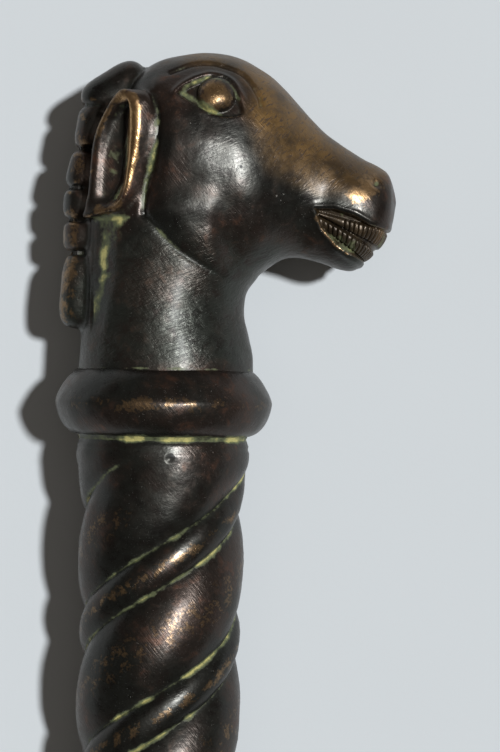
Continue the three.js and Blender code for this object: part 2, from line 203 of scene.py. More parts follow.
def spline(table, place):
    """A smooth value from a table of places and values, by cubic Hermite spans."""
    xs, ys = np.array(table, float).T[:2]
    at = np.clip(np.asarray(place, float), xs[0], xs[-1])
    last = len(xs) - 1
    i = np.clip(np.searchsorted(xs, at) - 1, 0, last - 1)
    before = np.maximum(np.arange(last + 1) - 1, 0)
    after = np.minimum(np.arange(last + 1) + 1, last)
    tangent = (ys[after] - ys[before]) / (xs[after] - xs[before])
    span = xs[i + 1] - xs[i]
    t = (at - xs[i]) / span
    rise = ys[i + 1] - ys[i]
    start = tangent[i] * span
    end = tangent[i + 1] * span
    return ys[i] + t * (start + t * (3 * rise - 2 * start - end + t * (start + end - 2 * rise)))


def smooth(low, high, value):
    t = np.clip((np.asarray(value, float) - low) / (high - low), 0, 1)
    return t * t * (3 - 2 * t)


def bell(distance, width):
    """1 at no distance, falling to nothing within about two widths."""
    return np.exp(-((distance / width) ** 2))


def spot(x, y, middle, reach):
    """1 at a place in the side view, falling to nothing about two reaches away."""
    return np.exp(-(((x - middle[0]) / reach[0]) ** 2) - ((y - middle[1]) / reach[1]) ** 2)


def oval(angle, half_width, half_depth, squareness=2.0):
    """Points of an oval, which a squareness above 2 brings nearer to a rectangle."""
    cos, sin = np.cos(angle), np.sin(angle)
    across = half_width * np.sign(cos) * np.abs(cos) ** (2 / squareness)
    return across, half_depth * np.sign(sin) * np.abs(sin) ** (2 / squareness)


def head_point(x, y, z):
    return np.stack(np.broadcast_arrays(x * UNIT, BASE + y * UNIT, z * UNIT), -1)


def head_side(x, y):
    """How far out the head's side stands at a place in its side view, in hundredths."""
    top, bottom = spline(HEAD_TOP, x), spline(HEAD_BOTTOM, x)
    share = np.minimum(np.abs(2 * y - top - bottom) / (top - bottom), 1)
    return spline(HEAD_HALF_WIDTH, x) * (1 - share**HEAD_SQUARENESS) ** (1 / HEAD_SQUARENESS)


def neck_side(x, y):
    """The same for the neck's side."""
    back, front = spline(NECK_BACK, y), spline(NECK_FRONT, y)
    share = np.clip(np.abs(2 * x - front - back) / (front - back), 0, 1)
    return spline(NECK_HALF_WIDTH, y) * np.sqrt(1 - share**2)


def lofted(rings):
    """A closed mesh over rings of equally many points, with a fan over each end."""
    rows, columns = rings.shape[:2]
    points = np.concatenate([rings.reshape(-1, 3), rings[0].mean(0)[None], rings[-1].mean(0)[None]])
    here = np.arange((rows - 1) * columns).reshape(rows - 1, columns)
    beside = np.roll(here, -1, 1)
    quads = np.stack([here, beside, beside + columns, here + columns], -1).reshape(-1, 4)
    first = np.arange(columns)
    second = np.roll(first, -1)
    low = np.stack([np.full(columns, rows * columns), second, first], -1)
    final = (rows - 1) * columns
    high = np.stack([np.full(columns, rows * columns + 1), first + final, second + final], -1)
    mesh = bpy.data.meshes.new("form")
    mesh.from_pydata(points.tolist(), [], quads.tolist() + low.tolist() + high.tolist())
    shape = bmesh.new()
    shape.from_mesh(mesh)
    bmesh.ops.recalc_face_normals(shape, faces=shape.faces)
    shape.to_mesh(mesh)
    shape.free()
    return mesh


def neck_form():
    """The neck and the nape, with closer rings over the rounded top."""
    low, high = NECK_BACK[0][0], NECK_BACK[-1][0]
    dome = 11.5
    rounded = high - dome * np.linspace(1, 0, 30)[1:] ** 2
    height = np.concatenate([np.linspace(low, high - dome, 90), rounded])
    back, front = spline(NECK_BACK, height), spline(NECK_FRONT, height)
    half = spline(NECK_HALF_WIDTH, height)
    angle = np.linspace(0, 2 * math.pi, 140, endpoint=False)[None]
    x, z = oval(angle, (front - back)[:, None] / 2, half[:, None])
    return lofted(head_point((front + back)[:, None] / 2 + x, height[:, None], z))


def head_form():
    """The head from the nape forward, with closer rings at its two rounded ends."""
    share = np.linspace(0, 1, 170)
    nape, length = HEAD_TOP[0][0], 86.9
    x = nape + length * (1 - (1 - share**1.3) ** 1.5)
    top, bottom, half = spline(HEAD_TOP, x), spline(HEAD_BOTTOM, x), spline(HEAD_HALF_WIDTH, x)
    angle = np.linspace(0, 2 * math.pi, 170, endpoint=False)[None]
    y, z = oval(angle, (top - bottom)[:, None] / 2, half[:, None], HEAD_SQUARENESS)
    return lofted(head_point(x[:, None], (top + bottom)[:, None] / 2 + y, z))


def lock_form(notch, following, overlap):
    """A lock of the mane: a block with rounded corners, leaning as its stretch of the nape does."""
    x, y, rise, thickness = notch
    start, end = head_point(x, y, 0), head_point(following[0], following[1], 0)
    along = start - end
    length = np.linalg.norm(along) * overlap
    along = along / np.linalg.norm(along)
    outward = np.array([-along[1], along[0], 0])
    middle = (start + end) / 2 + outward * (rise - thickness / 2) * UNIT
    latitude = np.linspace(-0.49, 0.49, 40)[:, None] * math.pi
    spread, up = oval(latitude, 1, length / 2, 3.6)
    angle = np.linspace(0, 2 * math.pi, 56, endpoint=False)[None]
    out, z = oval(angle, thickness * UNIT / 2, MANE_WIDTH / 2, 2.4)
    points = middle + up[..., None] * along + (out * spread)[..., None] * outward
    points[..., 2] = z * spread
    return lofted(points)


def ear_form(side):
    """A leaf whose hollow faces out and back: its section is swept up along the ear's two edges."""
    climb = np.linspace(0, 1, 60)
    height = EAR_LOW + EAR_HEIGHT * smooth(0, 1, climb) * 0.5 + EAR_HEIGHT * climb * 0.5
    low, back, front = np.array(EAR_EDGES).T
    back_edge = spline(list(zip(low, back)), height)
    front_edge = spline(list(zip(low, front)), height)
    width = (front_edge - back_edge) / math.cos(EAR_LEAN) * UNIT
    along = (height - EAR_LOW) / EAR_HEIGHT
    depth = 1.7 * smooth(0.035, 0.17, along) * (1 - smooth(0.84, 0.97, along))
    rim = 0.9 + 1.0 * smooth(0.2, 0.8, along)
    rings = []
    for i in range(len(height)):
        across = np.linspace(0.4, width[i] - 0.4, 24)
        share = np.clip((across - 0.9) / max(width[i] - 0.9 - rim[i], 0.3), 0, 1)
        hollow = depth[i] * np.sin(math.pi * share**1.25) ** 0.8
        floor = 0.5 * np.sin(math.pi * across / max(width[i], 0.5)) - hollow
        section = [(-0.45, -1.2), (-0.3, -0.45), (0.0, -0.05), *zip(across, floor)]
        end = width[i]
        section += [(end - 0.1, -0.25), (end + 0.3, -0.9), (end + 0.8, -1.7), (end + 1.3, -2.8)]
        section += [(end + 1.6, -4.2), (end + 1.5, -6.5), (end / 2, -9)]
        section += [(0.6, -6.5), (0.0, -3), (-0.4, -1.9)]
        rings.append(section)
    section = np.array(rings)
    across = (back_edge - EAR_RIM_PLACE[0])[:, None] / math.cos(EAR_LEAN) + section[..., 0] / UNIT
    out = section[..., 1] / UNIT
    x = EAR_RIM_PLACE[0] + across * math.cos(EAR_LEAN) - out * math.sin(EAR_LEAN)
    z = EAR_RIM_PLACE[1] + across * math.sin(EAR_LEAN) + out * math.cos(EAR_LEAN)
    return lofted(head_point(x, height[:, None], side * z))


def lathed(profile, columns=128):
    """A round form along the grip, from a list of radii and heights."""
    radius, height = np.array(profile).T
    angle = np.linspace(0, 2 * math.pi, columns, endpoint=False)
    x, z = radius[:, None] * np.sin(angle), radius[:, None] * np.cos(angle)
    return lofted(np.stack(np.broadcast_arrays(x, height[:, None], z), -1))


def ring_profile(core):
    """The collar's outline round a core of the given radius; the butt ring has the same."""
    angle = np.linspace(-0.5, 0.5, 26) * math.pi
    out, up = oval(angle, 1, COLLAR_HEIGHT / 2, np.where(angle > 0, COLLAR_SHARPNESS, COLLAR_FULLNESS))
    return list(zip(core + (COLLAR_RADIUS - core) * out, up))


def butt_form():
    waist = COLLAR_HEIGHT / 2
    knob = [
        (-KNOB_LENGTH, BUTT_FACE_RADIUS),
        (-KNOB_LENGTH * 0.985, BUTT_FACE_RADIUS + 2.2),
        (-KNOB_LENGTH * 0.9, KNOB_RADIUS * 0.86),
        (-waist - (KNOB_LENGTH - waist) * 0.55, KNOB_RADIUS),
        (-waist - (KNOB_LENGTH - waist) * 0.28, KNOB_RADIUS * 0.94),
        (-waist, KNOB_WAIST_RADIUS),
    ]
    height = np.linspace(-KNOB_LENGTH, -waist, 28)
    profile = [*zip(spline(knob, height), height), *ring_profile(GRIP_END_RADIUS)]
    return lathed([(radius, y - GRIP_LENGTH) for radius, y in profile], 104)


def strand_share(angle, fall):
    """Where a place on the grip lies across its strand: from 0, over the bead, to 1."""
    turn = (angle - TWIST_START + 2 * math.pi * fall / TWIST_LEAD) / math.pi
    return turn - np.floor(turn)


def grip_form():
    """Columns of points follow the grooves round as they climb, so that the grooves stay crisp."""
    bead = BEAD_SHARE * (0.5 - 0.5 * np.cos(math.pi * np.linspace(0, 1, 15)[:-1]))
    bulge_share = np.linspace(0, 1, 29)[:-1]
    bulge_share = 0.55 * bulge_share + 0.45 * (0.5 - 0.5 * np.cos(math.pi * bulge_share))
    column = np.concatenate([bead, BEAD_SHARE + (1 - BEAD_SHARE) * bulge_share])
    column = np.concatenate([column, column + 1])
    upper = 26  # the rows lie closer together down to here
    fall = np.concatenate([np.linspace(0, upper, 44)[:-1], np.linspace(upper, GRIP_LENGTH, 214)])[:, None]
    angle = TWIST_START - 2 * math.pi * fall / TWIST_LEAD + math.pi * column[None]
    share = column[None] % 1
    in_bead = share < BEAD_SHARE
    local = np.where(in_bead, share / BEAD_SHARE, (share - BEAD_SHARE) / (1 - BEAD_SHARE))
    rise = np.where(in_bead, GROOVE_DEPTH - BEAD_DROP, GROOVE_DEPTH - BULGE_DROP)
    swell = 1 - np.abs(2 * local - 1) ** 2.3
    plain = GRIP_RADIUS + (GRIP_END_RADIUS - GRIP_RADIUS) * fall / GRIP_LENGTH
    from_ring = np.minimum(fall, GRIP_LENGTH - fall)
    relief = smooth(PLAIN_LENGTH, PLAIN_LENGTH + FADE_LENGTH, from_ring)
    cove = 0.55 * bell(fall - 6.7, 0.7) + 0.25 * bell(fall - 8.3, 0.35)
    radius = plain - relief * (GROOVE_DEPTH - rise * swell) - cove
    points = np.stack([radius * np.sin(angle), -fall + 0 * angle, radius * np.cos(angle)], -1)
    return lofted(points)


# Meshes

def mesh_of(shape, name):
    mesh = bpy.data.meshes.new(name)
    shape.to_mesh(mesh)
    shape.free()
    return mesh


def joined(meshes):
    """One mesh that holds several closed ones, which may run into each other."""
    shape = bmesh.new()
    for mesh in meshes:
        shape.from_mesh(mesh)
    return mesh_of(shape, "forms")


def placed(name, data):
    made = bpy.data.objects.new(name, data)
    bpy.context.scene.collection.objects.link(made)
    return made


def with_modifiers(mesh, add):
    """The mesh as it is after the modifiers that add puts on it."""
    carrier = placed("carrier", mesh)
    helpers = add(carrier) or []
    evaluated = carrier.evaluated_get(bpy.context.evaluated_depsgraph_get())
    result = bpy.data.meshes.new_from_object(evaluated)
    for leftover in [carrier, *helpers]:
        bpy.data.objects.remove(leftover)
    return result


def fused(mesh, grain):
    def add(carrier):
        remesh = carrier.modifiers.new("fuse", "REMESH")
        remesh.mode = "VOXEL"
        remesh.voxel_size = grain

    return with_modifiers(mesh, add)


def triangle_count(mesh):
    return sum(len(polygon.vertices) - 2 for polygon in mesh.polygons)


def thinned(mesh, most):
    """The mesh with larger triangles where it is flatter, and no more of them than the given number."""
    def add(carrier):
        decimate = carrier.modifiers.new("thin", "DECIMATE")
        decimate.ratio = min(1, most / triangle_count(mesh))

    return with_modifiers(mesh, add)


def united(mesh, others):
    def add(carrier):
        helpers = []
        for other in others:
            helper = placed("helper", other)
            union = carrier.modifiers.new("unite", "BOOLEAN")
            union.operation = "UNION"
            union.solver = "MANIFOLD"
            union.object = helper
            helpers.append(helper)
        return helpers

    return with_modifiers(mesh, add)


def values_of(items, field, width, kind=np.float32):
    flat = np.empty(len(items) * width, kind)
    items.foreach_get(field, flat)
    return flat.reshape(-1, width)


def places(mesh):
    return values_of(mesh.vertices, "co", 3).astype(float)


def set_places(mesh, points):
    mesh.vertices.foreach_set("co", points.astype(np.float32).ravel())
    mesh.update()


def normals(mesh):
    return values_of(mesh.vertex_normals, "vector", 3).astype(float)


def edge_ends(mesh):
    return values_of(mesh.edges, "vertices", 2, np.int32)


def neighbour_mean(values, ends):
    """The average of each vertex's neighbours."""
    count = np.bincount(ends.ravel(), minlength=len(values)).clip(1)
    mean = np.empty_like(values)
    for axis in range(values.shape[1]):
        total = np.bincount(ends[:, 0], values[ends[:, 1], axis], len(values))
        total += np.bincount(ends[:, 1], values[ends[:, 0], axis], len(values))
        mean[:, axis] = total / count
    return mean


def relax(mesh, rounds, share=1.0):
    """Smooths away the fusing's steps without shrinking the form, by each vertex's share."""
    points, ends = places(mesh), edge_ends(mesh)
    share = np.broadcast_to(np.asarray(share, float).reshape(-1, 1), (len(points), 1))
    for _ in range(rounds):
        for pull in (0.5, -0.52):
            points += pull * share * (neighbour_mean(points, ends) - points)
    set_places(mesh, points)


def blend_cheek(mesh):
    """Smooths the seam between the neck and the cheek that the jaw's crease takes the place of."""
    x, y, z = places(mesh).T
    inward = line_distance(x, y, CHEEK_LINE) * inside(x, y, CHEEK)
    beside_seam = smooth(1.6, 3, inward) * (1 - smooth(12, 16, inward))
    relax(mesh, 60, beside_seam * (y < 50) * (x < 26) * (np.abs(z) > 8))


def refine(mesh, chosen):
    """Cuts every edge between chosen vertices in half, and fills their faces with a grid."""
    shape = bmesh.new()
    shape.from_mesh(mesh)
    edges = [edge for edge in shape.edges if chosen[edge.verts[0].index] and chosen[edge.verts[1].index]]
    bmesh.ops.subdivide_edges(shape, edges=edges, cuts=1, use_grid_fill=True)
    bmesh.ops.triangulate(shape, faces=[face for face in shape.faces if len(face.verts) > 4])
    return mesh_of(shape, "finer")


def curve_through(table, closed=False):
    """A dense line through points of the head's side view, in millimetres."""
    points = np.array(table, float)
    count = len(points)
    spans = count if closed else count - 1
    line = []
    for i in range(spans):
        picks = [i - 1, i, i + 1, i + 2]
        a, b, c, d = points[[k % count if closed else min(max(k, 0), count - 1) for k in picks]]
        for t in np.linspace(0, 1, 12, endpoint=False):
            square = t * t * (2 * a - 5 * b + 4 * c - d)
            cube = t**3 * (3 * b - a - 3 * c + d)
            line.append(0.5 * (2 * b + t * (c - a) + square + cube))
    line.append(points[0] if closed else points[-1])
    return np.array(line) * UNIT + [0, BASE]


def line_distance(x, y, line):
    """The distance in the side view from each vertex to a line."""
    nearest = np.full(len(x), 1e9)
    for (ax, ay), (bx, by) in zip(line[:-1], line[1:]):
        dx, dy = bx - ax, by - ay
        squared = max(dx * dx + dy * dy, 1e-9)
        t = np.clip(((x - ax) * dx + (y - ay) * dy) / squared, 0, 1)
        nearest = np.minimum(nearest, np.hypot(x - ax - t * dx, y - ay - t * dy))
    return nearest


def inside(x, y, outline):
    """Whether each vertex lies within a closed line of the side view."""
    within = np.zeros(len(x), bool)
    for (ax, ay), (bx, by) in zip(outline, np.roll(outline, -1, 0)):
        if ay == by:
            continue
        crosses = (ay > y) != (by > y)
        within ^= crosses & (x < (bx - ax) * (y - ay) / (by - ay) + ax)
    return within


def depth_in(x, y, outline):
    """The distance to a closed line, counted below 0 outside it."""
    return line_distance(x, y, outline) * np.where(inside(x, y, outline), 1, -1)


def nostril_distance(x, y):
    return np.hypot(x - NOSTRIL[0] * UNIT, y - BASE - NOSTRIL[1] * UNIT)


def notch_distance(x, y):
    """The distance in the side view to the cuts between the locks of the mane."""
    nearest = np.full(len(x), 1e9)
    for notch_x, notch_y, *_ in MANE_NOTCHES[1:-1]:
        start = (notch_x * UNIT - 1.5, BASE + notch_y * UNIT)
        end = (notch_x * UNIT + 3.4, BASE + notch_y * UNIT - 0.3)
        nearest = np.minimum(nearest, line_distance(x, y, np.array([start, end])))
    return nearest


def waves(points, wavelength, seed):
    """Gentle lumps, about 1 high and low, of the given size."""
    dice = np.random.default_rng(seed)
    total = np.zeros(len(points))
    for _ in range(14):
        direction = dice.normal(size=3)
        direction /= np.linalg.norm(direction)
        rate = 2 * math.pi / (wavelength * dice.uniform(0.7, 1.5))
        total += np.sin(points @ direction * rate + dice.uniform(0, 2 * math.pi))
    return total / 14**0.5


# Carving, as heights above or below the fused form

CHEEK_LINE = np.concatenate([curve_through(EAR_CREASE)[::-1], curve_through(JAW_CREASE)[1:]])
CHEEK = np.concatenate([CHEEK_LINE, [(60, 20), (60, 80), (-3, 80)]])
EYE_MIDDLE = np.array([EYE[0] * UNIT, BASE + EYE[1] * UNIT])
LID_LINE = curve_through(LIDS, closed=True)
BROW_LINE = curve_through(BROW)
JAW_LINE = curve_through(JAW_CREASE)
EAR_LINE = curve_through(EAR_CREASE)
MOUTH_LINE = np.array(MOUTH) * UNIT + [0, BASE]
HOLLOW_LINE = np.array(EAR_HOLLOW)
VALLEY_LINE = np.array(MANE_VALLEY)


def eye_heights(x, y):
    """The ball in its socket, the lids round it and the line of the brow."""
    rim = line_distance(x, y, LID_LINE)
    within = inside(x, y, LID_LINE[:-1])
    dx, dy = x - EYE_MIDDLE[0], y - EYE_MIDDLE[1] - 0.15
    reach = (dx / EYE_HALF_SIZE[0]) ** 2 + (dy / EYE_HALF_SIZE[1]) ** 2
    ball = -EYE_DEPTH + EYE_RISE * np.sqrt(np.clip(1 - reach, 0, 1))
    pocket = -EYE_DEPTH * smooth(0.35, 0.9, rim)
    height = np.where(within, np.maximum(pocket, np.where(reach < 1, ball, -9)), 0)
    lid = 0.06 + 0.42 * smooth(-2.5, 0.5, dy)
    height += lid * bell(rim, 0.6) * (reach > 0.8)
    return height - 0.55 * bell(line_distance(x, y, BROW_LINE), 0.36)


def tooth_places(edges, x, y, z):
    """Where each vertex lies on a row of teeth: along it from its middle, and across it from 0 to 1."""
    lines = np.array(edges, float) * UNIT + [0, BASE]
    (top_a, top_b), (low_a, low_b) = lines
    top, low = [a[1] + (x - a[0]) * (b[1] - a[1]) / (b[0] - a[0]) for a, b in lines]
    across = (y - low) / np.maximum(top - low, 0.2)
    share = np.linspace(0, 1, 300)
    middle = (top_a + low_a)[None] / 2 + (top_b + low_b - top_a - low_a)[None] / 2 * share[:, None]
    half = head_side(middle[:, 0] / UNIT, (middle[:, 1] - BASE) / UNIT) * UNIT
    keep = half > 0
    arch_x, arch_z = np.append(middle[keep, 0], middle[keep, 0][-1]), np.append(half[keep], 0)
    bend = arch_x[0]
    turn = np.arctan2(arch_z, arch_x - bend)
    order = np.argsort(turn)
    from_middle = np.append(0, np.cumsum(np.hypot(np.diff(arch_x[order]), np.diff(arch_z[order]))))
    along = np.interp(np.arctan2(np.abs(z), x - bend), turn[order], from_middle)
    return along, across


def mouth_heights(points, pitch):
    """The open mouth, its two rows of teeth with the cuts between them, and the edge of the lips."""
    x, y, z = points.T
    line = line_distance(x, y, np.append(MOUTH_LINE, MOUTH_LINE[:1], 0))
    within = inside(x, y, MOUTH_LINE)
    height = np.where(within, -MOUTH_DEPTH * smooth(0, 0.5, line), 0)
    for edges, first in zip(TOOTH_ROWS, FIRST_TOOTH):
        along, across = tooth_places(edges, x, y, z)
        band = smooth(-0.08, 0.12, across) * (1 - smooth(0.88, 1.08, across))
        step = along / pitch
        step = np.abs(step - np.round(step))
        cut = 0.5 * smooth(first - 0.6, first + 0.6, x)
        tooth = 1 - cut * (1 - smooth(0.02, 0.24, 0.5 - step))
        crown = 1 - 0.25 * (2 * across - 1) ** 2
        row = -MOUTH_DEPTH + TOOTH_RISE * band * tooth * crown
        height = np.where(within, np.maximum(height, row), height)
    height += np.where(within, 0, 0.26 * bell(line - 0.5, 0.5))
    return height * (1 - 0.5 * smooth(36.5, 39.5, x))


def cheek_rise(x, y, z):
    """How far the cheek is filled out so that it meets the neck in a step along the jaw's crease."""
    neck = neck_side(x / UNIT, (y - BASE) / UNIT) * UNIT
    head = head_side(x / UNIT, (y - BASE) / UNIT) * UNIT
    now = np.maximum(neck, head)
    inward = line_distance(x, y, CHEEK_LINE) * np.where(inside(x, y, CHEEK), 1, -1)
    near_ear = smooth(34, 40, y)
    step, width = 1.9 - 1.4 * near_ear, 5.5 - 3.5 * near_ear
    rounding = 5
    raised = neck + step * np.sin(0.5 * math.pi * np.clip(inward / width, 0, 1))
    blend = rounding * np.clip(1 - np.abs(raised - head) / rounding, 0, 1) ** 2 / 4
    filled = np.maximum(raised, head) + blend * smooth(0, 3, inward)
    on_surface = 1 - smooth(0.8, 1.6, np.abs(np.abs(z) - now))
    reach = smooth(-0.4, 0.4, inward) * (1 - smooth(56, 60, y)) * (1 - smooth(8, 13, x))
    return (filled - now) * on_surface * reach * np.sign(z)


def carve_head(mesh, pitch):
    """Refines the mesh round the eyes and the mouth, then sinks and raises its carving."""
    for rounds in (0, 1):
        x, y, z = places(mesh).T
        near_eye = (np.hypot(x - EYE_MIDDLE[0], y - EYE_MIDDLE[1]) < 8.2) & (np.abs(z) > 7)
        near_brow = (line_distance(x, y, BROW_LINE) < 0.9) & (np.abs(z) > 6)
        line = line_distance(x, y, MOUTH_LINE)
        near_mouth = (inside(x, y, MOUTH_LINE) | (line < 1.2)) & (x < 46)
        if rounds == 0:
            mesh = refine(mesh, near_eye | near_brow | near_mouth)
        elif pitch < 1:
            mesh = refine(mesh, near_mouth & (line < 9))
    points, outward = places(mesh), normals(mesh)
    x, y, z = points.T
    side = smooth(0.15, 0.5, np.abs(outward[:, 2]))
    height = eye_heights(x, y) * side * (np.abs(z) > 5)
    mouth = mouth_heights(points, pitch)
    front = (x > FACE_START) & (y < BASE + 53 * UNIT)
    height += np.where(front, mouth, 0)
    height -= 0.6 * bell(line_distance(x, y, EAR_LINE), 0.5) * side * (np.abs(z) > 9)
    jaw = 0.3 * bell(line_distance(x, y, JAW_LINE), 0.5) * smooth(12.5, 8, x)
    height -= jaw * side * smooth(8, 9.5, np.abs(z))
    valley = line_distance(x, y, VALLEY_LINE)
    ridge = 0.14 * bell(valley - 2.9, 1.2) * (x > -10.9) * (1 - smooth(27, 32, y)) * smooth(12, 15, y)
    height += (ridge - 0.42 * bell(valley, 1.8)) * (np.abs(z) > 8) * smooth(0.2, 0.5, side)
    height -= 0.5 * bell(notch_distance(x, y), 0.38) * (np.abs(z) < 9)
    ear_hollow = smooth(0.1, 2, depth_in(x, y, HOLLOW_LINE))
    height -= (0.7 + 0.5 * smooth(-11, -7.5, x)) * ear_hollow * (np.abs(z) > 8)
    height -= 0.8 * bell(nostril_distance(x, y), 0.75) * (x > 30)
    height += 0.5 * spot(x, y, (34.5, 38.3), (4.2, 3.4)) * side
    height -= 0.5 * spot(x, y, (24.6, 33.5), (1.7, 5)) * side
    points[:, 2] += cheek_rise(x, y, z)
    set_places(mesh, points + outward * height[:, None])
    return mesh


def hand_finish(mesh):
    """The unevenness of a casting that was filed and rubbed by hand, and the flats it lies on."""
    points, outward = places(mesh), normals(mesh)
    lumps = 0.1 * waves(points, 16, 4) + 0.045 * waves(points, 5.5, 9)
    points += outward * lumps[:, None]
    points[:, 2] = np.maximum(points[:, 2], -REST_HEIGHT)
    points[:, 1] = np.maximum(points[:, 1], -GRIP_LENGTH - KNOB_LENGTH)
    set_places(mesh, points)


# What the finish needs to know about each place of the surface

def groove_closeness(points):
    """1 in the grip's grooves and the rings' joints, falling to 0 within a millimetre or two."""
    x, y, z = points.T
    fall = -y
    share = strand_share(np.arctan2(x, z), fall)
    gap = np.minimum(np.minimum(share, 1 - share), np.abs(share - BEAD_SHARE))
    slope = 0.86  # the grooves run aslant, which brings their sides nearer
    away = gap * TWIST_LEAD / 2 * slope
    on_grip = smooth(8.5, 13, fall) * smooth(8.5, 13, GRIP_LENGTH - fall)
    close = 0.8 * bell(away, 0.62) * on_grip
    for place, reach, weight in [(6.4, 0.75, 1.0), (8.3, 0.3, 0.35), (GRIP_LENGTH - 6.4, 0.8, 1)]:
        close = np.maximum(close, weight * bell(fall - place, reach))
    return close


def head_closeness(points):
    """1 in the head's creases where residue gathers."""
    x, y, z = points.T
    dx, dy = x - EYE_MIDDLE[0], y - EYE_MIDDLE[1]
    filled = 0.55 + 0.45 * smooth(1.5, -2, dx) - 0.4 * smooth(1, 3, dx) * smooth(-0.5, -2, dy)
    thick = 0.55 + 0.5 * smooth(1, -1.5, dx) * smooth(1.5, -0.5, dy)
    rim = line_distance(x, y, LID_LINE)
    lids = filled * bell(rim - thick - 0.15, thick) * inside(x, y, LID_LINE[:-1])
    brow = 0.28 * bell(line_distance(x, y, BROW_LINE), 0.35)
    notches = 0.5 * bell(notch_distance(x, y), 0.4)
    upper_ear = 0.5 + 0.22 * smooth(39, 43, y) * (1 - smooth(53, 56, y))
    ear = upper_ear * bell(line_distance(x, y, EAR_LINE), 0.8)
    jaw = 0.42 * bell(line_distance(x, y, JAW_LINE), 0.5) * smooth(7, 1, x)
    hollow = inside(x, y, HOLLOW_LINE)
    hollow_rim = line_distance(x, y, HOLLOW_LINE)
    bottom = 0.75 * bell(hollow_rim, 1.2) * smooth(-12.2, -10, x) * (1 - smooth(47, 52, y)) * hollow
    stain = 0.5 * smooth(-12.5, -9, x) * smooth(0.2, 1, hollow_rim) * hollow
    valley = line_distance(x, y, VALLEY_LINE)
    width = 1.35 + 1.2 * smooth(28.5, 32, y) - 0.2 * smooth(19, 23, y)
    core = (0.88 + 0.2 * smooth(22, 18, y)) * bell(valley, width)
    fringe = 0.42 * bell(valley, 2 * width)
    below_ear = 0.95 * bell(y - 32.9, 0.9) * smooth(-14.5, -12.5, x) * (1 - smooth(-6, -4, x))
    nostril = 1.1 * bell(nostril_distance(x, y), 0.8) * (x > 30)
    mouth = 0.46 * inside(x, y, MOUTH_LINE) * (x < 40)
    on_sides = np.max([lids, brow, notches, ear, jaw, bottom, stain], axis=0) * (np.abs(z) > 7)
    beside_mane = np.max([core, fringe, below_ear], axis=0) * (np.abs(z) > 8)
    return np.max([on_sides, beside_mane, nostril, mouth], axis=0)


def hollowness(mesh):
    """Above 0 in hollows and below 0 on ridges, at the scale of a couple of millimetres."""
    points, outward, ends = places(mesh), normals(mesh), edge_ends(mesh)
    blurred = points
    for _ in range(10):
        blurred = 0.4 * blurred + 0.6 * neighbour_mean(blurred, ends)
    return ((blurred - points) * outward).sum(1)


def mark(mesh, name, values):
    attribute = mesh.attributes.new(name, "FLOAT", "POINT")
    attribute.data.foreach_set("value", np.clip(values, -4, 4).astype(np.float32))


def ear_rim(x, y, z):
    """1 on the ear's rim, with its front edge rubbed the most."""
    low, back, front = np.array(EAR_EDGES).T
    leaf = np.stack([np.append(back, front[::-1]), np.append(low, low[::-1])], -1) * UNIT + [0, BASE]
    leaf_edge = line_distance(x, y, leaf)
    on_leaf = np.where(inside(x, y, leaf), 1, bell(leaf_edge, 0.5))
    away = -depth_in(x, y, HOLLOW_LINE)
    rim = smooth(-0.6, 0.3, away) * (1 - smooth(1.6, 2.6, away))
    rubbed = 0.4 + 0.62 * smooth(-10, -7.5, x) * smooth(36, 41, y) * (1 - smooth(53, 56, y))
    return rim * on_leaf * rubbed * (np.abs(z) > 11)


def mark_surface(mesh):
    """Creases, hollows, gold, wear and a painted highlight on the muzzle, as values that the bronze reads.
    """
    points = places(mesh)
    x, y, z = points.T
    mark(mesh, "crease", np.maximum(groove_closeness(points), head_closeness(points)))
    on_head = smooth(7.2, 10.5, y)
    in_mouth = inside(x, y, MOUTH_LINE) & (x > FACE_START)
    # In the mouth the hollows count for less, which keeps most of the painted shade off the teeth.
    hollow = hollowness(mesh) * np.where(in_mouth, 0.28, 1) * on_head
    hollow += 0.3 * groove_closeness(points) * smooth(5, 4, y)
    mark(mesh, "hollow", hollow)
    inward = depth_in(x, y, np.array(TAN_EDGE))
    nose_tip = smooth(36, 40, x) * (1 - smooth(41, 44, y))
    tan = smooth(-2, 2.6, inward) * smooth(-9, 9, x) * (1 - 0.75 * nose_tip)
    tan *= 1 - 0.5 * spot(x, y, (32.5, 43.2), (4.2, 2.6))
    mark(mesh, "tan", np.where(in_mouth, 0.5, tan * on_head))
    ball = 0.62 * np.exp(-((np.hypot(x - EYE_MIDDLE[0], y - EYE_MIDDLE[1]) / 3.1) ** 4)) * (np.abs(z) > 8)
    # partly rubbed metal, partly a painted highlight: the first spot puts bare-metal colour on top of the
    # muzzle's bulge where its highlight falls
    muzzle = 0.75 * spot(x, y, (34.6, 38), (1.9, 1.5))
    muzzle += 0.42 * spot(x, y, (37, 40), (3, 3))
    locks = 0.38 * smooth(-15, -17, x) * smooth(11, 16, y) * (1 - smooth(32, 40, y))
    locks += 0.28 * smooth(-13.5, -16, x) * smooth(38, 44, y)
    belt = 0.33 * bell(y + 0.3, 1.7) * smooth(18.5, 19.6, np.hypot(x, z))
    belt *= 0.75 + 0.25 * np.cos(3 * np.arctan2(x, z))
    share = strand_share(np.arctan2(x, z), -y)
    on_twist = smooth(16, 22, -y) * (1 - smooth(340, 356, -y))
    bead = bell(share - BEAD_SHARE * 0.52, 0.05) * on_twist
    crest = bell(share - 0.62, 0.16) * on_twist
    ridge = np.clip(-hollow * 3.5 - 0.35, 0, 0.45) * on_head
    ridge *= smooth(0.8, 2.5, line_distance(x, y, CHEEK_LINE))
    lower_lip = MOUTH_LINE[[0, -1, -2, -3]]
    corner = 0.5 * bell(line_distance(x, y, lower_lip), 0.45) * (1 - in_mouth)
    wear_and_glint = [ball, muzzle, locks, belt, ear_rim(x, y, z), 0.36 * bead, 0.25 * crest, ridge, corner]
    mark(mesh, "wear_and_glint", np.max(wear_and_glint, axis=0))


# Shader maths

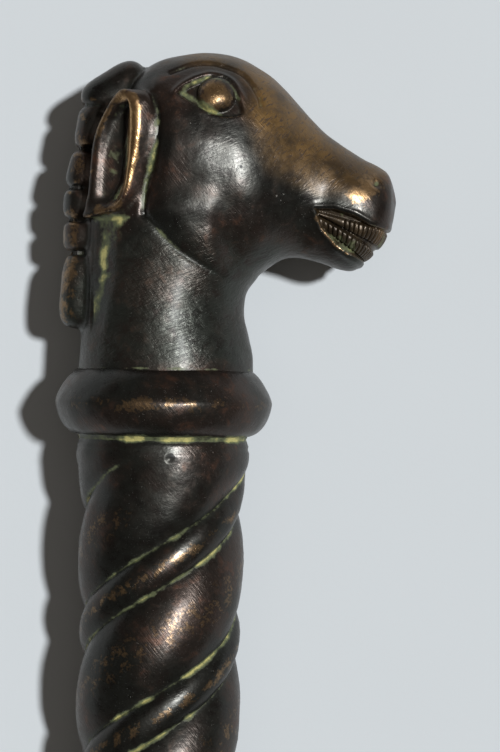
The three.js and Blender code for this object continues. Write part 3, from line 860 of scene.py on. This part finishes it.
class Socket:
    """A shader value that takes part in Python sums."""

    def __init__(self, graph, link):
        self.graph = graph
        self.link = link

    def _math(self, operation, *values, clamp=False):
        settings = {"operation": operation, "use_clamp": clamp}
        return self.graph.node("ShaderNodeMath", settings, dict(enumerate(values)))

    def __add__(self, other):
        return self._math("ADD", self, other)

    __radd__ = __add__

    def __sub__(self, other):
        return self._math("SUBTRACT", self, other)

    def __rsub__(self, other):
        return self._math("SUBTRACT", other, self)

    def __mul__(self, other):
        return self._math("MULTIPLY", self, other)

    __rmul__ = __mul__

    def __abs__(self):
        return self._math("ABSOLUTE", self)

    def clamp(self):
        return self._math("ADD", self, 0.0, clamp=True)

    def most(self, other):
        return self._math("MAXIMUM", self, other)

    def ramp(self, low, high):
        """0 below low and 1 above high, or the other way round where low is the greater."""
        inputs = {"Value": self, "From Min": low, "From Max": high}
        return self.graph.node("ShaderNodeMapRange", {"interpolation_type": "SMOOTHSTEP"}, inputs)


class Graph:
    """The nodes of one material."""

    def __init__(self, name):
        self.material = bpy.data.materials.new(name)
        self.material.use_nodes = True
        self.tree = self.material.node_tree
        self.tree.nodes.clear()

    def node(self, kind, settings=None, inputs=None, output=0):
        made = self.tree.nodes.new(kind)
        for name, value in (settings or {}).items():
            setattr(made, name, value)
        for name, value in (inputs or {}).items():
            if isinstance(value, Socket):
                self.tree.links.new(value.link, made.inputs[name])
            else:
                made.inputs[name].default_value = value
        return Socket(self, made.outputs[output]) if len(made.outputs) else None

    def place(self):
        return self.node("ShaderNodeTexCoord", output="Object")

    def up(self, place):
        """The height along the mace, from the collar's middle."""
        return self.node("ShaderNodeSeparateXYZ", {}, {0: place}, output=1)

    def marked(self, name):
        return self.node("ShaderNodeAttribute", {"attribute_name": name}, output="Fac")

    def streaks(self, place, turn, thin):
        """The place drawn out along one direction in the side view, which turn brings onto X."""
        rotation = (0, 0, math.radians(turn))
        turned = self.node("ShaderNodeMapping", {}, {"Vector": place, "Rotation": rotation})
        return self.node("ShaderNodeMapping", {}, {"Vector": turned, "Scale": (thin, 1, 0.5)})

    def noise(self, place, scale, detail=2.0, roughness=0.5, distortion=0.0):
        inputs = {
            "Vector": place,
            "Scale": scale,
            "Detail": detail,
            "Roughness": roughness,
            "Distortion": distortion,
        }
        return self.node("ShaderNodeTexNoise", {}, inputs)

    def mix(self, share, first, second):
        """The first colour where share is 0 and the second where it is 1."""
        inputs = {0: share, 6: first, 7: second}
        return self.node("ShaderNodeMix", {"data_type": "RGBA"}, inputs, output=2)

    def surface(self, inputs):
        """Ends the material with its shader, and hands it over."""
        shader = self.node("ShaderNodeBsdfPrincipled", {}, inputs)
        self.node("ShaderNodeOutputMaterial", {}, {"Surface": shader})
        return self.material


def rgba(colour):
    return (*colour, 1.0)


def pit_places(mesh):
    """The middle and the radius of each casting flaw on the upper side, in metres."""
    points = places(mesh)
    found = []
    for x, y, radius in PITS:
        near = points[np.hypot(points[:, 0] - x * MM, points[:, 1] - y * MM) < 0.8 * MM]
        found.append(((x * MM, y * MM, float(near[:, 2].max())), radius * MM))
    return found


def bronze_material(finish, pits):
    graph = Graph("patinated_bronze")
    place = graph.place()
    up = graph.up(place)
    crease, hollow, tan, wear_and_glint = map(graph.marked, ("crease", "hollow", "tan", "wear_and_glint"))
    cloud = graph.noise(place, 80, 3, 0.55)
    mottle = graph.noise(place, 420, 4, 0.6, 0.3)
    dents = graph.noise(place, 900, 2, 0.5)
    grit = graph.noise(place, 1900, 3, 0.6)
    speck = graph.noise(place, 2900, 2, 0.5)
    strokes = graph.noise(graph.streaks(place, -48, 0.11), 2300, 2, 0.5, 0.5)
    scratches = graph.noise(graph.streaks(place, 50, 0.08), 2600, 3, 0.65, 0.5)
    brushing = graph.noise(graph.streaks(place, -20, 0.12), 2100, 3, 0.6, 0.6)

    colour = graph.mix(cloud.ramp(0.35, 0.68), rgba(finish.dark), rgba(finish.brown))
    russet = mottle.ramp(0.5, 0.75) * cloud.ramp(0.4, 0.6) * 0.7
    colour = graph.mix(russet.clamp(), colour, rgba(finish.russet))
    tan_share = (tan * (mottle.ramp(0.25, 0.65) * 0.5 + cloud.ramp(0.35, 0.65) * 0.35 + 0.12)).clamp()
    colour = graph.mix(tan_share, colour, rgba(finish.tan))
    stroke = strokes.ramp(0.53, 0.64) * tan.ramp(0.15, 0.6) * mottle.ramp(0.35, 0.6)
    colour = graph.mix((stroke * 0.75).clamp(), colour, rgba(finish.brown))
    neck = up.ramp(*FILM_START) * up.ramp(*FILM_END)
    film = cloud.ramp(0.62, 0.4) * 0.35 + hollow.ramp(-0.02, 0.2) * 0.5 + neck * 0.5
    film = film * mottle.ramp(0.25, 0.55)
    colour = graph.mix((film * (1.0 - tan)).clamp(), colour, rgba(finish.film))
    patchy = mottle.ramp(0.4, 0.66) * 0.6 + grit.ramp(0.4, 0.7) * 0.25
    # bare-metal colour where the bronze is rubbed, and on the muzzle's bulge a painted highlight
    wear_and_glint_share = (wear_and_glint * 1.5 - patchy * (1.35 - wear_and_glint) - 0.12).clamp()
    colour = graph.mix(wear_and_glint_share, colour, rgba(finish.copper))
    # painted shade: the hollows are darkened towards near-black, the more the deeper they are
    hollow_shade = (hollow.ramp(0.05, 0.35) * 0.8).clamp()
    colour = graph.mix(hollow_shade, colour, rgba(finish.hollow_shade))
    patches = graph.noise(place, 150, 2, 0.5, 0.5)
    edge = graph.noise(place, 700, 3, 0.65)
    neck_joint = abs(up - NECK_JOINT).ramp(NECK_JOINT_REACH, 0.0) * 0.64
    filled = crease.most(neck_joint) + hollow * 0.2 - patches.ramp(0.62, 0.4) * 0.46 - (edge - 0.5) * 0.95
    filled = filled + crease * patches.ramp(0.58, 0.68) * 0.2
    residue = filled.ramp(0.2, 0.62)
    dust = hollow.ramp(0.08, 0.3) * edge.ramp(0.55, 0.75) * 0.45
    residue = residue.most(dust).clamp()
    tone = graph.mix(filled.ramp(0.55, 0.95), rgba(finish.residue_green), rgba(finish.residue))
    colour = graph.mix((residue * 0.92).clamp(), colour, tone)

    roughness = 0.23 + cloud * 0.12 + mottle.ramp(0.4, 0.7) * 0.1 + tan * 0.12 - wear_and_glint_share * 0.02
    roughness = roughness + (grit - 0.5) * 0.14 + (dents - 0.5) * 0.1
    roughness = roughness + residue * 0.4 + hollow_shade * 0.12 + neck * 0.03
    metallic = 0.68 + wear_and_glint_share * 0.3 - residue * 0.68 - hollow_shade * 0.3 - tan * 0.3
    relief = mottle * 0.4 + dents * 0.45 + grit * 0.22 + residue * 0.25
    relief = relief + scratches.ramp(0.3, 0.7) * cloud.ramp(0.4, 0.6) * 0.24
    relief = relief + brushing.ramp(0.3, 0.7) * cloud.ramp(0.5, 0.35) * 0.14
    relief = relief + neck * (brushing.ramp(0.35, 0.65) * 0.34 + mottle.ramp(0.35, 0.65) * 0.4)
    relief = relief - stroke * 0.35 - speck.ramp(0.66, 0.74) * 0.35
    for pit, size in pits:
        away = graph.node("ShaderNodeVectorMath", {"operation": "DISTANCE"}, {0: place, 1: pit}, output=1)
        relief = relief - away.ramp(size, 0.0) * PIT_DEPTH
    bump = graph.node("ShaderNodeBump", {}, {"Strength": 0.55, "Distance": 0.00018, "Height": relief})
    inputs = {
        "Base Color": colour,
        "Metallic": metallic.clamp(),
        "Roughness": roughness.clamp(),
        "Normal": bump,
        "Specular IOR Level": 1.0,
        "Specular Tint": (0.62, 0.6, 0.58, 1.0),
        "Coat Weight": 0.16,
        "Coat Roughness": 0.3,
    }
    return graph.surface(inputs)


def floor_material(colour):
    graph = Graph("pale_board")
    place = graph.place()
    cloud = graph.noise(place, 6, 2, 0.5)
    fibre = graph.noise(place, 900, 3, 0.6)
    darker = [0.965 * value for value in colour]
    tone = graph.mix(cloud.ramp(0.3, 0.7), rgba(colour), rgba(darker))
    bump = graph.node("ShaderNodeBump", {}, {"Strength": 0.08, "Distance": 0.0002, "Height": fibre})
    return graph.surface({"Base Color": tone, "Roughness": 0.75, "Normal": bump})


# What a user would change

def colour_property(name, description, default):
    return FloatVectorProperty(
        name=name, description=description, default=default, size=3, subtype="COLOR", min=0, max=1,
    )


class MaceShape(bpy.types.PropertyGroup):
    grain: FloatProperty(
        name="Grain", description="Size of the head's facets", default=0.46 * MM, unit="LENGTH",
    )
    tooth_pitch: FloatProperty(
        name="Tooth pitch", description="From one tooth to the next", default=0.86 * MM, unit="LENGTH",
    )


class MaceFinish(bpy.types.PropertyGroup):
    dark: colour_property("Dark patina", "The bronze's darkest skin", (0.012, 0.0105, 0.0095))
    brown: colour_property("Brown patina", "The bronze's usual skin", (0.042, 0.0285, 0.0225))
    russet: colour_property("Russet patina", "Redder patches", (0.115, 0.05, 0.028))
    tan: colour_property("Golden brown", "Rubbed forehead and muzzle", (0.165, 0.09, 0.022))
    # besides the rubbed high spots, this colour also paints the highlight on the muzzle's bulge
    copper: colour_property("Worn metal", "High spots rubbed bare", (0.48, 0.3, 0.145))
    film: colour_property("Green film", "Thin green-grey film over the patina", (0.034, 0.0385, 0.032))
    # painted shade: this near-black colour darkens the hollows, standing in for their shade
    hollow_shade: colour_property("Grime", "Dark dirt in hollows", (0.005, 0.004, 0.0035))
    residue: colour_property("Residue", "Pale polish left in grooves", (0.50, 0.46, 0.17))
    residue_green: colour_property("Green residue", "Greener residue", (0.095, 0.112, 0.048))


class MaceStage(bpy.types.PropertyGroup):
    floor: colour_property("Floor", "Colour of the board the mace lies on", (0.58, 0.615, 0.64))
    key_strength: FloatProperty(name="Key light", description="Strength of the key light", default=3.36)
    fill_power: FloatProperty(
        name="Fill light", description="Power of the overhead light", default=1.5, unit="POWER",
    )


# Operators

class MACE_OT_cast(bpy.types.Operator):
    """Cast the mace: head, mane, ears, collar, twisted grip and ringed butt in one piece"""

    bl_idname = "mace.cast"
    bl_label = "Cast Mace"

    def execute(self, context):
        shape = context.scene.mace_shape
        grain = shape.grain / MM
        locks = [
            lock_form(notch, MANE_NOTCHES[i + 1], 1.0 if i == 0 else 1.1)
            for i, notch in enumerate(MANE_NOTCHES[:-1])
        ]
        forms = [neck_form(), head_form(), ear_form(1), ear_form(-1), *locks]
        head = fused(joined(forms), grain)
        relax(head, 4)
        head = carve_head(head, shape.tooth_pitch / MM)
        blend_cheek(head)
        relax(head, 1)
        head = thinned(head, HEAD_TRIANGLES)
        mesh = united(head, [lathed(ring_profile(GRIP_RADIUS)), grip_form(), butt_form()])
        hand_finish(mesh)
        mark_surface(mesh)
        mesh.transform(Matrix.Translation((0, 0, REST_HEIGHT * MM)) @ Matrix.Scale(MM, 4))
        mesh.polygons.foreach_set("use_smooth", np.ones(len(mesh.polygons), bool))
        mesh.set_sharp_from_angle(angle=SHARP_ANGLE)
        mesh.name = "cast_mace"
        mace = placed("cast_mace", mesh)
        mesh.materials.clear()
        mesh.materials.append(bronze_material(context.scene.mace_finish, pit_places(mesh)))
        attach(mace, "root")
        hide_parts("mace")
        print("cast mace:", triangle_count(mesh), "triangles")
        return {"FINISHED"}


class MACE_OT_set_stage(bpy.types.Operator):
    """Lay out the floor, the lights and the camera that looks down on the mace"""

    bl_idname = "mace.set_stage"
    bl_label = "Set Stage"

    def execute(self, context):
        stage = context.scene.mace_stage
        self.lay_floor(stage.floor)
        self.hang_key(stage.key_strength)
        self.hang_fill(stage.fill_power)
        world = bpy.data.worlds.new("studio")
        world.use_nodes = True
        background = world.node_tree.nodes["Background"]
        background.inputs["Color"].default_value = rgba(ROOM_COLOUR)
        background.inputs["Strength"].default_value = ROOM_STRENGTH
        context.scene.world = world
        context.scene.view_settings.view_transform = "Standard"
        self.place_camera(context)
        return {"FINISHED"}

    def lay_floor(self, colour):
        shape = bmesh.new()
        bmesh.ops.create_grid(shape, x_segments=8, y_segments=8, size=FLOOR_REACH)
        mesh = mesh_of(shape, "floor")
        mesh.materials.append(floor_material(colour))
        floor = placed("floor", mesh)
        floor.location = FLOOR_PLACE

    def hang_key(self, strength):
        """A lamp so far off that it lights the whole floor evenly."""
        light = bpy.data.lights.new("key", "SUN")
        light.angle = KEY_SPREAD
        self.hang(light, strength, KEY_COLOUR, KEY_PLACE)

    def hang_fill(self, power):
        """A weak, wide and warm light that opens up the shadow."""
        light = bpy.data.lights.new("fill", "AREA")
        light.shape = "DISK"
        light.size = FILL_SIZE
        self.hang(light, power, FILL_COLOUR, FILL_PLACE)

    def hang(self, light, energy, colour, place):
        light.energy = energy
        light.color = colour
        lamp = placed(light.name, light)
        lamp.location = place
        aim = Vector(LIGHTS_AIM) - lamp.location
        lamp.rotation_euler = aim.to_track_quat("-Z", "Y").to_euler()

    def place_camera(self, context):
        """Straight above the mace, turned a degree so that it leans as it does in the photograph."""
        data = bpy.data.cameras.new("camera")
        data.sensor_width = SENSOR_WIDTH
        data.lens = LENS
        camera = placed("camera", data)
        camera.location = (*CAMERA_PLACE, REST_HEIGHT * MM + CAMERA_RISE)
        camera.rotation_euler = (0, 0, CAMERA_TURN)
        context.scene.camera = camera


class MACE_PT_panel(bpy.types.Panel):
    """Sizes, colours and steps of the mace"""

    bl_label = "Bronze Mace"
    bl_idname = "MACE_PT_panel"
    bl_space_type = "VIEW_3D"
    bl_region_type = "UI"
    bl_category = "Mace"

    def draw(self, context):
        layout = self.layout
        for group in [getattr(context.scene, name) for name in GROUPS]:
            box = layout.box()
            for name in group.__annotations__:
                box.prop(group, name)
        layout.operator(MACE_OT_cast.bl_idname)
        layout.operator(MACE_OT_set_stage.bl_idname)


GROUPS = {"mace_shape": MaceShape, "mace_finish": MaceFinish, "mace_stage": MaceStage}
CLASSES = (*GROUPS.values(), MACE_OT_cast, MACE_OT_set_stage, MACE_PT_panel)


def register():
    for cls in CLASSES:
        bpy.utils.register_class(cls)
    for name, group in GROUPS.items():
        setattr(bpy.types.Scene, name, PointerProperty(type=group))


def unregister():
    for name in GROUPS:
        delattr(bpy.types.Scene, name)
    for cls in reversed(CLASSES):
        bpy.utils.unregister_class(cls)


def main():
    register()
    bpy.ops.mace.cast()
    bpy.ops.mace.set_stage()


if __name__ == "__main__":
    main()
